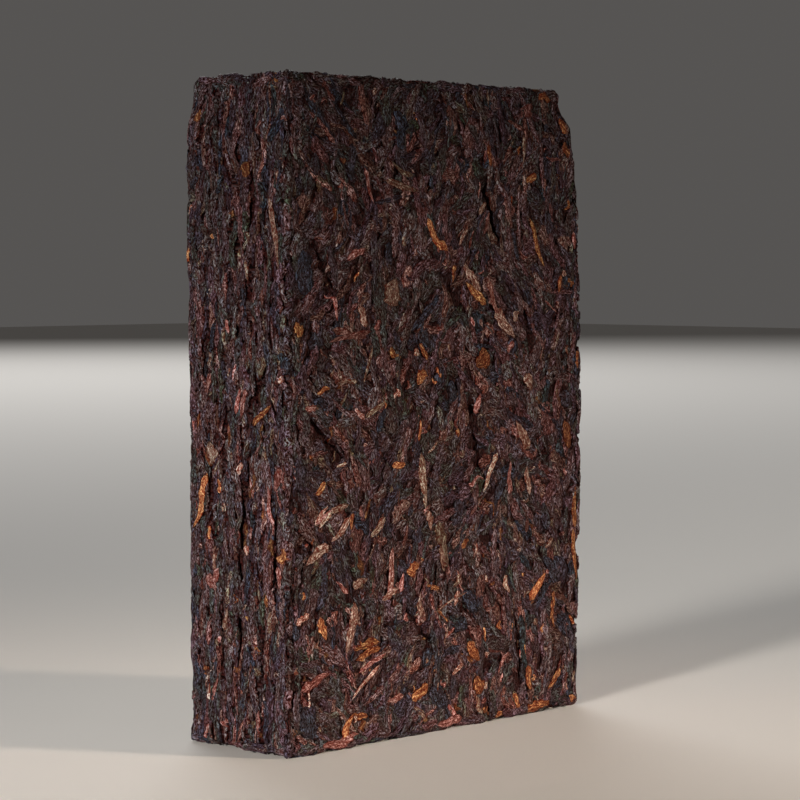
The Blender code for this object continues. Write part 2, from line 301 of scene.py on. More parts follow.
def make_block():
    """The mould's form as a fine grid, sunk a leaf's thickness, with its layer edges and splits."""
    shell = bmesh.new()
    bmesh.ops.create_cube(shell, size=2)
    for axis, cuts in enumerate(BLOCK_CUTS):
        along = [edge for edge in shell.edges if abs(edge.verts[0].co[axis] - edge.verts[1].co[axis]) > 1]
        bmesh.ops.subdivide_edges(shell, edges=along, cuts=cuts, use_grid_fill=True)
    x, y, z = np.array([vertex.co for vertex in shell.verts]).T
    edge = 1 - 1e-5
    ends = [y < -edge, x > edge, y > edge]
    around = np.select(
        ends,
        [x * HALF_WIDTH, FRONT_RIGHT + (y + 1) * HALF_DEPTH, BACK_RIGHT + (1 - x) * HALF_WIDTH],
        BACK_LEFT + (1 - y) * HALF_DEPTH,
    )
    up = BLOCK_SINK + (z + 1) / 2 * (HEIGHT - 2 * BLOCK_SINK)
    narrow = np.where(np.abs(x) > edge, 1.0, BROAD_LAYER_SHARE)
    relief = LAYER_DEPTH * narrow * (ripple(around, up / LAYER_STRETCH, LAYER_THICKNESS, 21) - 0.6)
    relief = relief + PIT_DEPTH * ripple(around, up, PIT_LENGTH, 22)
    for split in SPLITS:
        across, within = beside_split(split, around, up)
        depth = min(SPLIT_DEPTH, 5 * split[-1])
        relief = relief - depth * within * np.exp(-(across / SPLIT_REACH)**2)
    walls = on_wall(around, up, relief - BLOCK_SINK)
    reach = 1 - (TOP_PULL_IN + BLOCK_SINK) / HALF_DEPTH
    layers = ripple(x * HALF_WIDTH / TOP_LAYER_STRETCH, y * HALF_DEPTH, LAYER_THICKNESS, 23)
    rough = TOP_LAYER_DEPTH * layers
    top = on_top(x * HALF_WIDTH * TOP_SHARE, y * HALF_DEPTH * reach, rough - BLOCK_SINK)
    base = on_base(x * HALF_WIDTH, y * HALF_DEPTH, 0 * rough - BLOCK_SINK / 2)
    wall = (np.abs(x) > edge) | (np.abs(y) > edge)
    places = np.where(wall[:, None], walls, np.where(z[:, None] > 0, top, base))
    for vertex, place in zip(shell.verts, places):
        vertex.co = place
    mesh = bpy.data.meshes.new("block")
    shell.to_mesh(mesh)
    shell.free()
    mesh.shade_smooth()
    block = bpy.data.objects.new("block", mesh)
    bpy.context.scene.collection.objects.link(block)
    return block


block = make_block()
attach(block, "root")
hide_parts("tea_brick")


# The dark flakes
# Broad leaf, fermented to a purplish brown-black, that the mould flattened into the two broad faces. Each
# flake is its own thin closed solid, pressed to the mould's face with its edges turned down under others.

MILLIMETRE = 0.001

# What is left of a height that would stand out past the mould's face, how far a leaf may lap over a corner
# or over the end of a wall, top or base, and the gap that keeps the lowest leaf off the floor
PRESS_GIVE = 0.3
CORNER_LAP = (-0.0002, 0.0005)
WALL_OVERHANG = (-0.0003, 0.0004)
CAP_OVERHANG = (-0.0006, 0)
FLOOR_GAP = 0.00003

# A leaf's cross-section, from its right rim over the top to the left rim and back underneath
SECTION_SIDE = (1, 0.80, 0.42, 0, -0.42, -0.80, -1, -0.55, 0.55)
SECTION_FACE = (-0.1, 0.75, 1, 1, 1, 0.75, -0.1, -1, -1)


def leaf_blank(stations):
    """A closed blank: how far along it each point lies, its place in the cross-section, and its faces."""
    blank = bmesh.new()
    bmesh.ops.create_uvsphere(blank, u_segments=len(SECTION_SIDE), v_segments=stations, radius=1)
    blank.verts.index_update()
    x, y, z = np.array([vertex.co for vertex in blank.verts]).T
    faces = [[vertex.index for vertex in face.verts] for face in blank.faces]
    blank.free()
    along = 1 - 2 * np.arccos(np.clip(z, -1, 1)) / math.pi
    place = np.round(np.arctan2(-y, x) / math.tau * len(SECTION_SIDE)).astype(int) % len(SECTION_SIDE)
    tip = np.abs(z) > 0.9999
    side = np.where(tip, 0, np.array(SECTION_SIDE)[place])
    face = np.where(tip, 0, np.array(SECTION_FACE)[place])
    return along, side, face, faces


# The inverse of the plastic number, and its square: steps of these fill a square most evenly
STEP_ACROSS = 0.7548776662
STEP_UP = 0.5698402910
NEXT_WALL_TURN = 0.31


def evenly(count, turn):
    """Places spread evenly but never in rows, in the unit square."""
    steps = np.arange(count) + 0.5
    return (steps * STEP_ACROSS + turn) % 1, (steps * STEP_UP + 1.7 * turn) % 1


def draw_leaves(draw, count, length, width, thick, lean, bend, depth, tilt):
    """Leaves drawn at random: sizes in millimetres, angles in degrees, tops below the mould's face."""
    return {
        "length": draw.uniform(*length, count) * MILLIMETRE,
        "width": draw.uniform(*width, count) * MILLIMETRE,
        "thick": draw.uniform(*thick, count) * MILLIMETRE,
        "lean": np.radians(lean),
        "bend": np.radians(draw.normal(0, bend, count)),
        "depth": draw.uniform(*depth, count) * MILLIMETRE,
        "tilt": np.radians(draw.normal(0, tilt, count)),
        "pitch": np.radians(draw.normal(0, 1.0, count)),
        "blunt": draw.uniform(1.4, 4.5, count),
        "ragged": draw.uniform(0.06, 0.24, count),
        "taper": draw.uniform(-0.6, 0.6, count),
        "fold": draw.uniform(0.02, 0.10, count) * MILLIMETRE,
        "folds": draw.uniform(3, 8, count),
        "wave": draw.uniform(0.02, 0.09, count) * MILLIMETRE,
        "curl": draw.uniform(0.02, 0.17, count) * MILLIMETRE,
        "sway": draw.normal(0, 0.28, count) * MILLIMETRE,
        "turns": draw.uniform(0, math.tau, (4, count)),
        "tone": draw.uniform(0, 1, count),
    }


def shape_leaves(leaves, blank):
    """Each leaf's points in its own place on the wall: rightward, upward and outward from its middle."""
    along, side, face, _ = blank
    leaf = {name: values[..., None] for name, values in leaves.items()}
    turns = leaf["turns"]
    half = leaf["length"] / 2
    profile = np.sqrt(np.clip(1 - np.abs(along) ** leaf["blunt"], 0, 1))
    ragged = 1 + leaf["ragged"] * (np.sin(5 * along + turns[0] + side) + np.sin(11 * along + turns[1]))
    across = leaf["width"] / 2 * profile * ragged * side * (1 + leaf["taper"] * along)
    out = leaf["thick"] / 2 * (np.sqrt(profile) * face - 1)
    out = out - leaf["curl"] * (side**2 * (0.6 + 0.4 * np.sin(3 * along + turns[2])) + along**4)
    folds = np.sin(leaf["folds"] * side + 3 * along + turns[3])
    out = out + leaf["fold"] * (face > 0.5) * folds
    out = out + leaf["wave"] * np.sin(6 * along + turns[1])
    out = out + across * np.tan(leaf["tilt"]) + along * half * np.tan(leaf["pitch"])
    out = out - leaf["depth"]
    out = np.where(out > 0, out * PRESS_GIVE, out)
    bend = np.where(np.abs(leaf["bend"]) < 0.01, 0.01, leaf["bend"])
    radius = leaf["length"] / bend
    turned = bend * along / 2
    right = radius * (1 - np.cos(turned)) - radius * (1 - np.cos(bend / 2)) / 3 + across * np.cos(turned)
    up = radius * np.sin(turned) - across * np.sin(turned)
    right = right + leaf["sway"] * np.sin(4 * along + turns[0])
    cos, sin = np.cos(leaf["lean"]), np.sin(leaf["lean"])
    return right * cos + up * sin, up * cos - right * sin, out


def clear_of_splits(around, z):
    """Slides the leaves that cross a split to one side of it."""
    for split in SPLITS:
        gap = split[-1]
        across, within = beside_split(split, around, z)
        least = np.where(within, across, np.inf).min(axis=1)
        most = np.where(within, across, -np.inf).max(axis=1)
        crosses = (least < gap) & (most > -gap)
        to_right = gap - least
        to_left = most + gap
        slide = np.where(to_right < to_left, to_right, -to_left)
        slide = np.where(crosses, slide, 0)[:, None]
        around = around + slide * math.cos(split[3])
        z = z - slide * math.sin(split[3])
    return around, z


def clear_of_corners(draw, around):
    """Slides the leaves that cross an upright corner to one side of it, but for a little that laps over."""
    lap = draw.uniform(*CORNER_LAP, len(around))
    for corner in CORNERS:
        beyond = past(around, corner)
        least, most = beyond.min(axis=1), beyond.max(axis=1)
        crosses = (least < -lap) & (most > lap)
        slide = np.where(-least < most, -lap - least, lap - most)
        around = around + np.where(crosses, slide, 0)[:, None]
    return around


def keep_within(offsets, middle, low, high, overhang):
    """Moves leaves in so that none reaches more than its overhang past the limits."""
    least = middle + offsets.min(axis=1)
    most = middle + offsets.max(axis=1)
    middle = middle + np.maximum(low - overhang - least, 0)
    return middle - np.maximum(most - high - overhang, 0)


def press_on_walls(draw, leaves, blank, around, z, lap=False):
    """Presses leaves into the walls at their places round the waist and up."""
    right, up, out = shape_leaves(leaves, blank)
    z = keep_within(up, z, 0, HEIGHT, draw.uniform(*WALL_OVERHANG, len(z)))
    around = around[:, None] + right
    around = np.where(lap, around, clear_of_corners(draw, around))
    around, z = clear_of_splits(around, z[:, None] + up)
    z = np.clip(z, FLOOR_GAP, HEIGHT + WALL_OVERHANG[1])
    return on_wall(around, z, out), out


def press_on_cap(draw, leaves, blank, x, y, cap):
    """Presses leaves into the top or the base."""
    right, up, out = shape_leaves(leaves, blank)
    if cap is on_base:
        up = -up
        out = np.minimum(out, 0)
    reach_x = HALF_WIDTH - TOP_PULL_IN
    reach_y = HALF_DEPTH - TOP_PULL_IN
    x = keep_within(right, x, -reach_x, reach_x, draw.uniform(*CAP_OVERHANG, len(x)))
    y = keep_within(up, y, -reach_y, reach_y, draw.uniform(*CAP_OVERHANG, len(y)))
    return cap(x[:, None] + right, y[:, None] + up, out), out


# Painted shade along a leaf's rim: how much darker the rim is, as if it lay this many millimetres deeper
RIM_SHADE = 0.80


def join_leaves(name, blank, batches, material):
    """Joins batches of pressed leaves as one piece, whose points know their shade, place and depth (as
    painted shade).
    """
    along, side, _, faces = blank
    points = np.concatenate([places.reshape(-1, 3) for places, _, _ in batches])
    sunk = np.concatenate([out.reshape(-1) for _, out, _ in batches])
    tone, grain_u, grain_v = [], [], []
    for number, (places, _, leaves) in enumerate(batches):
        shift = np.random.default_rng(number).uniform(0, 900, (2, len(places), 1))
        tone.append(np.repeat(leaves["tone"], len(along)))
        grain_u.append((leaves["width"][:, None] / MILLIMETRE / 2 * side + shift[0]).reshape(-1))
        grain_v.append((leaves["length"][:, None] / MILLIMETRE / 2 * along + shift[1]).reshape(-1))
    count = len(points) // len(along)
    joined = [
        [corner + number * len(along) for corner in face]
        for number in range(count)
        for face in faces
    ]
    mesh = bpy.data.meshes.new(name)
    mesh.from_pydata(points, [], joined)
    mesh.shade_smooth()
    mesh.attributes.new("tone", "FLOAT", "POINT").data.foreach_set("value", np.concatenate(tone))
    # Painted shade: how deep each point lies, with the rim counted as deeper still, for the finish to
    # darken it by
    deep = np.clip(-sunk / MILLIMETRE + RIM_SHADE * np.tile(np.abs(side) > 0.9, count), 0, 1)
    mesh.attributes.new("sunk", "FLOAT", "POINT").data.foreach_set("value", deep)
    corners = np.empty(len(mesh.loops), dtype=np.int64)
    mesh.loops.foreach_get("vertex_index", corners)
    flat = np.stack((np.concatenate(grain_u)[corners], np.concatenate(grain_v)[corners]), axis=-1)
    mesh.uv_layers.new(name="grain").uv.foreach_set("vector", flat.reshape(-1))
    mesh.materials.append(material)
    piece = bpy.data.objects.new(name, mesh)
    bpy.context.scene.collection.objects.link(piece)
    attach(piece, "root")


# Patches of olive, slate, mauve and rust that run over the leaves, and the tint of the painted light: deep
# red in the painted shade of a leaf's folds, and greyer than its own in the painted sheen on its ridges
DARK_TINTS = (
    (0.22, (0.90, 1.10, 0.84)),
    (0.36, (0.90, 0.98, 1.16)),
    (0.50, (1.00, 1.00, 1.00)),
    (0.64, (1.12, 0.94, 1.10)),
    (0.80, (1.28, 0.92, 0.88)),
)
LIGHT_TINTS = (
    (0.30, (0.94, 1.05, 0.97)),
    (0.50, (1.00, 1.00, 1.00)),
    (0.70, (1.08, 0.97, 0.94)),
)
# Tint by painted light: deep red where shade is painted, greyer where sheen is painted
SHADE_AND_SHEEN_TINTS = (
    (0.00, (3.00, 0.60, 0.40)),
    (0.16, (1.75, 0.68, 0.54)),
    (0.36, (1.00, 1.00, 1.00)),
    (0.80, (0.80, 1.18, 1.40)),
)

# How fine the mottle and the patches are, how fine the grain and the creases are across and along a leaf,
# and how high they stand
MOTTLE_SCALE = 350
PATCH_SCALE = 300
GRAIN_SCALE = (3.4, 1.5)
CREASE_SCALE = (2.0, 0.50)
CREASE_HEIGHT = 0.0008


def leaf_finish(name, shades, tints=DARK_TINTS, streaks=0.3, wrinkle_tone_and_painted_light=1.0, roughness=0.5, gloss=0.04):
    """Dry leaf: a range of shades from leaf to leaf, mottled, with fine creases along each leaf, and
    painted shade and highlights.
    """
    material = bpy.data.materials.new(name)
    material.use_nodes = True
    nodes, links = material.node_tree.nodes, material.node_tree.links
    shader = nodes["Principled BSDF"]
    shader.inputs["Roughness"].default_value = roughness
    shader.inputs["Specular IOR Level"].default_value = gloss

    def attribute(label):
        node = nodes.new("ShaderNodeAttribute")
        node.attribute_name = label
        return node.outputs["Fac"]

    def noise(vector, scale, detail, curl=0.0):
        node = nodes.new("ShaderNodeTexNoise")
        node.inputs["Scale"].default_value = scale
        node.inputs["Detail"].default_value = detail
        node.inputs["Roughness"].default_value = 0.7
        node.inputs["Distortion"].default_value = curl
        links.new(vector, node.inputs["Vector"])
        return node.outputs["Fac"]

    def combine(operation, first, second=0.0, third=0.0):
        node = nodes.new("ShaderNodeMath")
        node.operation = operation
        for socket, value in zip(node.inputs, (first, second, third)):
            if isinstance(value, float):
                socket.default_value = value
            else:
                links.new(value, socket)
        return node.outputs["Value"]

    def spread(value, low, high, least, most):
        node = nodes.new("ShaderNodeMapRange")
        for socket, number in zip(list(node.inputs)[1:5], (low, high, least, most)):
            socket.default_value = number
        links.new(value, node.inputs["Value"])
        return node.outputs["Result"]

    def ramp(value, stops):
        node = nodes.new("ShaderNodeValToRGB")
        while len(node.color_ramp.elements) < len(stops):
            node.color_ramp.elements.new(0.5)
        for element, (position, colour) in zip(node.color_ramp.elements, stops):
            element.position = position
            element.color = (*colour, 1)
        links.new(value, node.inputs["Fac"])
        return node.outputs["Color"]

    def blend(operation, first, second):
        node = nodes.new("ShaderNodeVectorMath")
        node.operation = operation
        links.new(first, node.inputs[0])
        links.new(second, node.inputs["Scale" if operation == "SCALE" else 1])
        return node.outputs["Vector"]

    def along_leaf(across, along):
        node = nodes.new("ShaderNodeMapping")
        node.inputs["Scale"].default_value = (across, along, 1)
        links.new(place.outputs["UV"], node.inputs["Vector"])
        return node.outputs["Vector"]

    place = nodes.new("ShaderNodeTexCoord")
    mottle = noise(place.outputs["Object"], MOTTLE_SCALE, 3)
    tint = noise(place.outputs["Object"], PATCH_SCALE, 2)
    grain = noise(along_leaf(*GRAIN_SCALE), 1.0, 2, curl=0.3)
    crease = noise(along_leaf(*CREASE_SCALE), 1.0, 4, curl=0.4)

    # The shade along the leaf's own range, then the patch of tint that it falls in
    shade = combine("MULTIPLY_ADD", mottle, 0.5, -0.25)
    shade = combine("MULTIPLY_ADD", crease, streaks, combine("ADD", shade, -streaks / 2))
    shade = combine("ADD", shade, attribute("tone"))
    leaf_tint = combine("FRACT", combine("MULTIPLY", attribute("tone"), 11.0))
    tint = combine("ADD", combine("MULTIPLY", tint, 0.55), combine("MULTIPLY", leaf_tint, 0.45))
    colour = ramp(shade, [(number / (len(shades) - 1), shade) for number, shade in enumerate(shades)])
    colour = blend("MULTIPLY", colour, ramp(tint, tints))

    # How light each point is, in painted light: painted shade deep down and on the rims, and dark in the
    # grain's pits, in creases and along their fine lines, partly the leaf's own darker wrinkles and partly
    # painted shade, with painted highlights on the grain's ridges
    line = combine("ABSOLUTE", combine("SUBTRACT", crease, 0.5))
    light = combine("MAXIMUM", combine("MULTIPLY_ADD", attribute("sunk"), -0.95, 1.15), 0.12)
    light = combine("MULTIPLY", light, spread(grain, 0.44, 0.56, 1 - 0.95 * wrinkle_tone_and_painted_light, 1 + wrinkle_tone_and_painted_light))
    light = combine("MULTIPLY", light, spread(crease, 0.43, 0.57, 1 - 0.6 * wrinkle_tone_and_painted_light, 1 + 0.6 * wrinkle_tone_and_painted_light))
    light = combine("MULTIPLY", light, spread(line, 0.0, 0.03, 1 - 0.85 * wrinkle_tone_and_painted_light, 1.15))
    # The painted light's tint: deep red in the painted shade, greyer in the painted sheen
    colour = blend("MULTIPLY", colour, ramp(combine("MULTIPLY", light, 0.4), SHADE_AND_SHEEN_TINTS))
    links.new(blend("SCALE", colour, light), shader.inputs["Base Color"])

    bump = nodes.new("ShaderNodeBump")
    bump.inputs["Strength"].default_value = 1.0
    bump.inputs["Distance"].default_value = CREASE_HEIGHT
    links.new(combine("MULTIPLY_ADD", grain, 0.5, crease), bump.inputs["Height"])
    links.new(bump.outputs["Normal"], shader.inputs["Normal"])
    return material


DARK_SHADES = (
    (0.0190, 0.0170, 0.0200),
    (0.0320, 0.0182, 0.0195),
    (0.0300, 0.0242, 0.0182),
    (0.0470, 0.0282, 0.0290),
    (0.0590, 0.0290, 0.0245),
    (0.0750, 0.0505, 0.0440),
)
# The block's colours: the dark leaves' shades turned a little redder, as painted shade in the gaps
INSIDE_SHADES = tuple((1.0 * red, 0.85 * green, 0.8 * blue) for red, green, blue in DARK_SHADES[:4])


def flow(draw, around, z, spread):
    """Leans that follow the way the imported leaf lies: near upright, in slow swirls, and some any way."""
    lean = 45 * ripple(around, z, 0.045, 31) + draw.normal(0, spread, len(z))
    return np.where(draw.random(len(z)) < 0.15, draw.uniform(-90, 90, len(z)), lean)


LONG_BLANK = leaf_blank(8)
BROAD_MARGIN = 0.0008


def broad_batches(draw, count, turn, sizes, spread, bend, depth, tilt):
    """Leaves strewn over both broad faces: sizes are the ranges of length, width and thickness."""
    made = []
    for number, middle in enumerate((FRONT_MIDDLE, BACK_MIDDLE)):
        across, up = evenly(count, turn + NEXT_WALL_TURN * number)
        around = middle + (across - 0.5) * 2 * (HALF_WIDTH - BROAD_MARGIN)
        z = up * HEIGHT
        leaves = draw_leaves(draw, count, *sizes, flow(draw, around, z, spread), bend, depth, tilt)
        places, out = press_on_walls(draw, leaves, LONG_BLANK, around, z)
        made.append((places, out, leaves))
    return made


# The block shows in the gaps, so it takes the same finish, set deep down, where the finish paints it in
# shade
block_uv = block.data.uv_layers.new(name="grain").uv
for loop in block.data.loops:
    block_uv[loop.index].vector = block.data.vertices[loop.vertex_index].co.xz / MILLIMETRE
for label, value in (("tone", 0.4), ("sunk", 0.75)):
    field = block.data.attributes.new(label, "FLOAT", "POINT").data
    field.foreach_set("value", [value] * len(block.data.vertices))
block.data.materials.append(leaf_finish("block_inside", INSIDE_SHADES))

dark_flakes = broad_batches(
    np.random.default_rng(101),
    count=780,
    turn=0.13,
    sizes=((4, 11), (2.2, 4.8), (0.30, 0.45)),
    spread=30,
    bend=35,
    depth=(0.02, 0.34),
    tilt=2.0,
)
dark_leaf = leaf_finish("dark_leaf", DARK_SHADES)
join_leaves("dark_flakes", LONG_BLANK, dark_flakes, dark_leaf)


# The brown flakes
# The same broad leaf, less fermented, in warmer browns. It lies among the dark flakes, pressed flat like
# them, in smaller pieces.

BROWN_SHADES = (
    (0.0450, 0.0195, 0.0145),
    (0.0600, 0.0275, 0.0195),
    (0.0780, 0.0380, 0.0265),
    (0.0960, 0.0450, 0.0350),
    (0.1280, 0.0740, 0.0540),
)

brown_flakes = broad_batches(
    np.random.default_rng(102),
    count=170,
    turn=0.47,
    sizes=((3.5, 9), (1.6, 4.0), (0.30, 0.45)),
    spread=30,
    bend=40,
    depth=(0.02, 0.30),
    tilt=2.5,
)
brown_leaf = leaf_finish("brown_leaf", BROWN_SHADES)
join_leaves("brown_flakes", LONG_BLANK, brown_flakes, brown_leaf)


# The twisted strips
# Leaf that was rolled before it was fermented: narrow strips, some bent into hooks, that lie on the flakes
# and give the broad faces their upright grain. A few darker, broader leaves stand out among them.

# Those few, on the front: millimetres across from its middle and up from the base, length and width, then
# the lean and the bend in degrees, and the shade from 0, dark, to 1, light
FRONT_DARK = (
    (26.0, 16.5, 13.8, 1.8, -7, 6, 0.00),
    (26.0, 41.7, 6.9, 1.8, -43, 10, 0.02),
    (36.2, 32.2, 7.7, 3.0, -36, 0, 0.05),
    (-12.2, 129.2, 9.3, 3.6, 6, 8, 0.02),
    (-27.0, 122.1, 8.2, 2.6, 4, 0, 0.05),
    (-17.9, 87.8, 9.5, 1.7, -4, 0, 0.40),
    (-41.4, 78.0, 6.1, 3.4, -5, 20, 0.18),
    (-40.6, 99.0, 9.9, 5.0, -8, 15, 0.02),
    (-36.2, 72.6, 4.5, 2.0, -72, 0, 0.02),
    (-42.6, 58.6, 7.8, 3.4, -4, 0, 0.20),
    (-31.2, 36.7, 7.5, 3.0, -28, 0, 0.20),
    (-39.7, 6.7, 7.7, 5.0, -20, 0, 0.05),
    (3.2, 73.7, 4.9, 2.6, -12, 0, 0.03),
    (-0.7, 7.2, 7.5, 4.0, -43, 0, 0.05),
    (33.8, 44.6, 7.2, 2.6, -17, 0, 0.10),
    (-20.6, 102.4, 13.6, 2.0, -4, 0, 0.22),
    (9.2, 27.4, 6.9, 3.6, -41, 0, 0.02),
    (-14.8, 21.4, 8.1, 3.4, -32, 10, 0.20),
    (-21.8, 28.7, 4.4, 3.6, -24, 0, 0.20),
    (-34.2, 99.6, 8.9, 2.2, -14, 0, 0.25),
    (-5.9, 129.5, 8.9, 2.2, -18, -8, 0.60),
)


def placed_leaves(draw, rows, depth=(-0.42, -0.30)):
    """Leaves at chosen places, just under the mould's face."""
    across, up, length, width, lean, bend, tone = np.array(rows, dtype=float).T
    leaves = draw_leaves(draw, len(rows), (1, 1), (1, 1), (0.45, 0.6), lean, 1, depth, 2)
    leaves["sway"] = leaves["sway"] / 2
    leaves["length"] = length * MILLIMETRE
    leaves["width"] = width * MILLIMETRE
    leaves["bend"] = np.radians(bend)
    leaves["tone"] = tone
    return leaves, across * MILLIMETRE, up * MILLIMETRE


draw = np.random.default_rng(103)
leaves, across, up = placed_leaves(draw, FRONT_DARK, depth=(-0.30, -0.10))
places, out = press_on_walls(draw, leaves, LONG_BLANK, FRONT_MIDDLE + across, up)
dark_strips = [(places, out, leaves)]
dark_strips += broad_batches(
    draw,
    count=560,
    turn=0.71,
    sizes=((5, 18), (0.9, 2.4), (0.35, 0.55)),
    spread=17,
    bend=35,
    depth=(0.0, 0.22),
    tilt=3,
)
join_leaves("dark_strips", LONG_BLANK, dark_strips, dark_leaf)

brown_strips = broad_batches(
    draw,
    count=150,
    turn=0.29,
    sizes=((4, 13), (0.8, 2.0), (0.35, 0.55)),
    spread=17,
    bend=35,
    depth=(0.0, 0.18),
    tilt=3,
)
join_leaves("brown_strips", LONG_BLANK, brown_strips, brown_leaf)


# The layer edges
# In the narrow ends, the top and the base the leaves show edge on, as long thin strips that follow the
# layers. They run up the ends, and along the top and the base.

END_MARGIN = 0.0002


def layer_batches(draw, count, cap_count, turn, sizes, depth):
    """Edge-on leaves: a count for each narrow end, and another for the top and for the base."""
    made = []
    for number, middle in enumerate((LEFT_END, RIGHT_END)):
        across, up = evenly(count, turn + NEXT_WALL_TURN * number)
        around = middle + (across - 0.5) * 2 * (HALF_DEPTH - END_MARGIN)
        leaves = draw_leaves(draw, count, *sizes, draw.normal(0, 9, count), 25, depth, 6)
        places, out = press_on_walls(draw, leaves, LONG_BLANK, around, up * HEIGHT)
        made.append((places, out, leaves))
    for number, cap in enumerate((on_top, on_base)):
        across, up = evenly(cap_count, turn + 0.2 + NEXT_WALL_TURN * number)
        leaves = draw_leaves(draw, cap_count, *sizes, draw.normal(90, 8, cap_count), 20, depth, 6)
        x = (across - 0.5) * 2 * HALF_WIDTH
        y = (up - 0.5) * 2 * HALF_DEPTH
        places, out = press_on_cap(draw, leaves, LONG_BLANK, x, y, cap)
        made.append((places, out, leaves))
    return made


draw = np.random.default_rng(104)
dark_layers = layer_batches(
    draw,
    count=470,
    cap_count=300,
    turn=0.17,
    sizes=((4, 15), (0.9, 2.6), (0.5, 0.8)),
    depth=(0.0, 0.26),
)
join_leaves("dark_layers", LONG_BLANK, dark_layers, dark_leaf)
brown_layers = layer_batches(
    draw,
    count=130,
    cap_count=80,
    turn=0.53,
    sizes=((4, 12), (0.6, 1.7), (0.5, 0.8)),
    depth=(0.0, 0.25),
)
join_leaves("brown_layers", LONG_BLANK, brown_layers, brown_leaf)


# The edge strips
# Bits of leaf that the corners of the mould pressed along the brick's edges. They make its edges ragged,
# stand as a ridge along the upright ones, and spread a little round the foot.

EDGE_STRIPS = 840
UPRIGHT_STRIPS = 600
EDGE_SPREAD = 0.0048
LAPPED_SHARE = 0.22

draw = np.random.default_rng(109)
along_edge, beside_edge = evenly(EDGE_STRIPS, 0.37)
upright = np.arange(EDGE_STRIPS) < UPRIGHT_STRIPS
corner = np.array(CORNERS)[np.arange(EDGE_STRIPS) % 4]
around = np.where(upright, corner + (beside_edge - 0.5) * EDGE_SPREAD, along_edge * WAIST)
z = np.where(upright, along_edge, np.where(beside_edge < 0.5, 0.0, 1.0)) * HEIGHT
lean = draw.normal(0, 9, EDGE_STRIPS)
leaves = draw_leaves(draw, EDGE_STRIPS, (2, 9), (0.9, 2.2), (0.5, 0.8), lean, 18, (-0.22, 0.08), 6)
leaves["lean"] = np.where(upright, leaves["lean"], leaves["lean"] + math.pi / 2)
laps_over = ~upright | (np.abs(beside_edge - 0.5) < LAPPED_SHARE / 2)
places, out = press_on_walls(draw, leaves, LONG_BLANK, around, z, lap=laps_over[:, None])
join_leaves("edge_strips", LONG_BLANK, [(places, out, leaves)], dark_leaf)


# The rust, red and tan leaves
# Stems and coarser leaf that stayed light: rust and orange stems, pink-red strips and tan or golden tips.
# The ones that stand out in the photograph lie in their own places, and the others are strewn thinly.

RUST_SHADES = (
    (0.055, 0.018, 0.008),
    (0.105, 0.035, 0.014),
    (0.180, 0.068, 0.027),
    (0.275, 0.112, 0.048),
)
RED_SHADES = (
    (0.050, 0.019, 0.015),
    (0.095, 0.035, 0.028),
    (0.155, 0.062, 0.050),
    (0.250, 0.116, 0.102),
)
TAN_SHADES = (
    (0.060, 0.035, 0.023),
    (0.095, 0.053, 0.037),
    (0.160, 0.090, 0.066),
    (0.275, 0.158, 0.124),
)

# The ones that lie in their own places on the front and on the narrow end that shows, in rows like the dark
# ones: across from that face's middle, up, length, width, lean, bend and shade
FRONT_RUST = (
    (-13.4, 58.5, 4.3, 1.6, 90, 10, 0.8),
    (31.5, 28.7, 8.0, 2.0, 43, 15, 0.9),
    (28.7, 8.2, 6.0, 1.9, -10, 10, 0.44),
    (37.5, 6.9, 6.5, 1.4, 47, -10, 0.5),
    (-9.0, 36.1, 4.0, 2.7, 60, 0, 0.7),
    (-1.8, 106.9, 9.8, 1.9, -42, 45, 0.8),
    (12.7, 80.1, 5.2, 4.0, 60, 0, 0.25),
    (-28.4, 4.6, 6.4, 1.9, 26, 40, 0.8),
    (-25.0, 6.4, 5.2, 1.6, 97, -15, 0.35),
    (-35.8, 25.9, 5.4, 2.2, -20, 25, 0.7),
    (-23.0, 21.2, 7.8, 1.8, 81, 25, 0.5),
    (7.4, 40.3, 3.0, 1.4, 49, 40, 0.5),
    (18.5, 21.2, 2.3, 1.4, -7, 0, 0.7),
    (10.2, 16.2, 6.3, 2.6, -39, 25, 0.45),
    (11.9, 8.6, 4.7, 3.6, -25, 0, 0.35),
    (-6.6, 9.2, 5.8, 2.3, 60, 10, 0.6),
    (18.5, 1.2, 2.2, 1.5, 60, 0, 0.6),
    (31.8, 1.6, 8.7, 2.2, 84, 0, 0.45),
    (43.4, 1.8, 2.0, 1.8, 34, 0, 0.6),
    (36.6, 22.0, 6.6, 0.9, -10, 10, 0.35),
    (43.4, 45.9, 11.0, 1.3, -2, 0, 0.4),
    (43.6, 34.8, 12.2, 1.4, -7, 5, 0.5),
    (-22.6, 19.4, 8.0, 1.6, 75, 10, 0.45),
    (10.8, 94.6, 8.2, 1.9, -53, 8, 0.75),
    (30.8, 105.8, 12.3, 1.3, -23, 12, 0.65),
    (15.3, 124.8, 5.1, 1.1, -11, 0, 0.35),
    (38.6, 96.7, 4.3, 1.0, 13, 0, 0.45),
    (-42.4, 87.8, 3.4, 2.3, -30, 0, 0.65),
    (-5.7, 82.4, 4.8, 1.2, -39, 0, 0.5),
    (-6.5, 77.0, 4.0, 2.4, 44, 10, 0.6),
    (-7.0, 65.6, 4.9, 0.8, 4, 0, 0.8),
    (40.3, 132.2, 4.1, 2.2, -31, 20, 0.45),
    (41.2, 126.8, 4.2, 1.8, -34, 0, 0.45),
    (34.6, 138.4, 4.0, 1.8, -72, 30, 0.35),
    (36.5, 23.9, 6.9, 0.9, 8, 0, 0.5),
    (40.8, 62.4, 6.9, 2.8, -14, 0, 0.15),
    (44.1, 79.3, 4.6, 1.3, 0, 0, 0.6),
    (-27.4, 47.6, 3.6, 1.0, 10, 0, 0.6),
    (-35.6, 75.2, 3.9, 1.2, 71, 10, 0.6),
)
